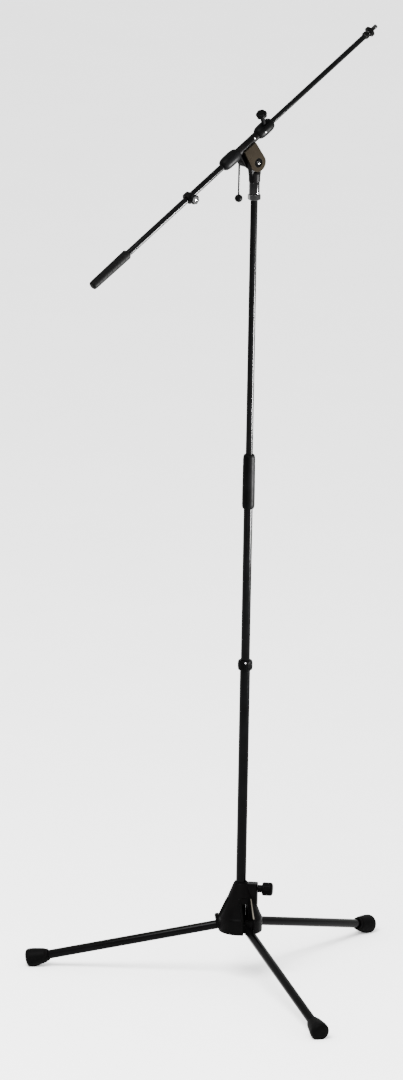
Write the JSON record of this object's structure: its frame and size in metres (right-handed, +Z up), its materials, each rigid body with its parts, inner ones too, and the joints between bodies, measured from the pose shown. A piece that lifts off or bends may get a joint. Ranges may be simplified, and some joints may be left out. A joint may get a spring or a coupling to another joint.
{
  "type": "boom microphone stand",
  "caption": "Free-standing boom microphone stand: folding tripod base, telescopic column, tilting telescopic boom with a clamp and a threaded tip.",
  "frame": {"origin": "on the floor, under the middle of the stand's outline as set up in the pictured pose", "axes": "+Z up along the column; +X to the right and +Y away as seen from the front, with one leg to the left, one to the front right and one to the rear right"},
  "size_m": [0.7826, 0.8328, 2.1121],
  "materials": {
    "cast_black": "semi-matt black coating",
    "black_coat": "semi-gloss black powder coat",
    "black_plastic": "fine matt moulding",
    "black_rubber": "moulded rubber",
    "chrome": "polished plate",
    "zinc_steel": "plated steel",
    "taupe_cast": "dark taupe, satin"
  },
  "bodies": {
    "base": {"base_housing": "cast_black", "column_bush": "black_plastic", "leg_1_pin": "zinc_steel", "leg_2_pin": "zinc_steel", "leg_3_pin": "zinc_steel"},
    "lock_knob": {"base_knob": "black_plastic", "base_knob_screw": "zinc_steel"},
    "column": {"bottom_tube": "black_coat", "lock_plug": "black_plastic", "mid_collet": "black_plastic"},
    "mid_lock": {"mid_ring": "black_plastic"},
    "middle": {"middle_tube": "black_coat", "middle_guide": "black_plastic", "clutch_collet": "black_plastic"},
    "clutch": {"clutch_grip": "black_plastic"},
    "top": {"top_tube": "black_coat", "top_guide": "black_plastic", "top_stud": "zinc_steel"},
    "nut": {"lock_nut": "chrome"},
    "swivel": {"swivel_sleeve": "chrome", "swivel_stem": "cast_black"},
    "holder": {"near_cheek": "taupe_cast", "far_cheek": "cast_black", "near_washer": "black_plastic", "far_washer": "black_plastic", "pivot_bolt": "chrome", "holder_sleeve": "cast_black", "rear_collar": "black_plastic", "front_collar": "black_plastic"},
    "clamp": {"clamp_hub": "cast_black"},
    "tbar": {"tbar_rod": "zinc_steel", "tbar_ball": "black_plastic", "tbar_head": "zinc_steel"},
    "boom_lock": {"holder_knob": "black_plastic", "holder_knob_screw": "zinc_steel"},
    "boom": {"boom_tube": "black_coat", "boom_grip": "black_plastic"},
    "stop": {"stop_ring": "cast_black"},
    "stop_lock": {"stop_knob": "black_plastic", "stop_screw": "zinc_steel"},
    "rod": {"boom_rod": "black_coat", "tip_stud": "chrome"},
    "tip_nut": {"ring_nut": "cast_black"},
    "leg_1": {"leg_1_tube": "black_coat", "leg_1_fitting": "cast_black", "leg_1_foot": "black_rubber"},
    "leg_2": {"leg_2_tube": "black_coat", "leg_2_fitting": "cast_black", "leg_2_foot": "black_rubber"},
    "leg_3": {"leg_3_tube": "black_coat", "leg_3_fitting": "cast_black", "leg_3_foot": "black_rubber"}
  },
  "joints": [
    {"name": "leg_1_fold", "type": "hinge", "parent": "base", "child": "leg_1", "pos_m": [0.0462, 0.03702, 0.124], "axis": [0.1409, 0.99, 0], "range_deg": [0, 100]},
    {"name": "leg_2_fold", "type": "hinge", "parent": "base", "child": "leg_2", "pos_m": [0.09799, -0.00359, 0.124], "axis": [-0.9278, -0.373, 0], "range_deg": [0, 100]},
    {"name": "leg_3_fold", "type": "hinge", "parent": "base", "child": "leg_3", "pos_m": [0.10727, 0.06157, 0.124], "axis": [0.7869, -0.617, 0], "range_deg": [0, 100]},
    {"name": "base_knob_turn", "type": "hinge", "parent": "base", "child": "lock_knob", "pos_m": [0.08382, 0.03167, 0.208], "axis": [0.9912, -0.1323, 0], "range_deg": [0, 180]},
    {"name": "column_lift", "type": "slide", "parent": "base", "child": "column", "axis": [0, 0, 1], "range_m": [0, 0.04]},
    {"name": "mid_ring_turn", "type": "hinge", "parent": "column", "child": "mid_lock", "pos_m": [0.08382, 0.03167, 0.718], "axis": [0, 0, 1], "range_deg": [0, 90]},
    {"name": "middle_slide", "type": "slide", "parent": "column", "child": "middle", "axis": [0, 0, 1], "range_m": [-0.29, 0.1]},
    {"name": "clutch_turn", "type": "hinge", "parent": "middle", "child": "clutch", "pos_m": [0.08382, 0.03167, 1.133], "axis": [0, 0, 1], "range_deg": [0, 90]},
    {"name": "top_slide", "type": "slide", "parent": "middle", "child": "top", "axis": [0, 0, 1], "range_m": [-0.48, 0.08]},
    {"name": "lock_nut_turn", "type": "hinge", "parent": "top", "child": "nut", "pos_m": [0.08382, 0.03167, 1.768], "axis": [0, 0, 1], "range_deg": [0, 180]},
    {"name": "boom_pan", "type": "hinge", "parent": "top", "child": "swivel", "pos_m": [0.08382, 0.03167, 1.802], "axis": [0, 0, 1], "continuous": true},
    {"name": "boom_tilt", "type": "hinge", "parent": "swivel", "child": "holder", "pos_m": [0.08382, 0.03167, 1.846], "axis": [0.6184, -0.7859, 0], "range_deg": [-110, 50]},
    {"name": "clamp_turn", "type": "hinge", "parent": "holder", "child": "clamp", "pos_m": [0.08382, 0.03167, 1.846], "axis": [-0.6184, 0.7859, 0], "range_deg": [-180, 0]},
    {"name": "tbar_slide", "type": "slide", "parent": "clamp", "child": "tbar", "axis": [0, 0, 1], "range_m": [0, 0.07]},
    {"name": "holder_knob_turn", "type": "hinge", "parent": "holder", "child": "boom_lock", "pos_m": [0.10413, 0.04765, 1.9177], "axis": [-0.1809, -0.5776, 0.796], "range_deg": [0, 180]},
    {"name": "boom_slide", "type": "slide", "parent": "holder", "child": "boom", "axis": [0.6657, 0.5239, 0.5314], "range_m": [0, 0.095]},
    {"name": "stop_slide", "type": "slide", "parent": "boom", "child": "stop", "axis": [0.6657, 0.5239, 0.5314], "range_m": [-0.17, 0]},
    {"name": "stop_knob_turn", "type": "hinge", "parent": "stop", "child": "stop_lock", "pos_m": [-0.05763, -0.07965, 1.78857], "axis": [0.6184, -0.7859, 0], "range_deg": [0, 180]},
    {"name": "rod_slide", "type": "slide", "parent": "boom", "child": "rod", "axis": [0.6657, 0.5239, 0.5314], "range_m": [-0.285, 0.09]},
    {"name": "ring_nut_turn", "type": "hinge", "parent": "rod", "child": "tip_nut", "pos_m": [0.32915, 0.22472, 2.09731], "axis": [0.6657, 0.5239, 0.5314], "continuous": true}
  ]
}
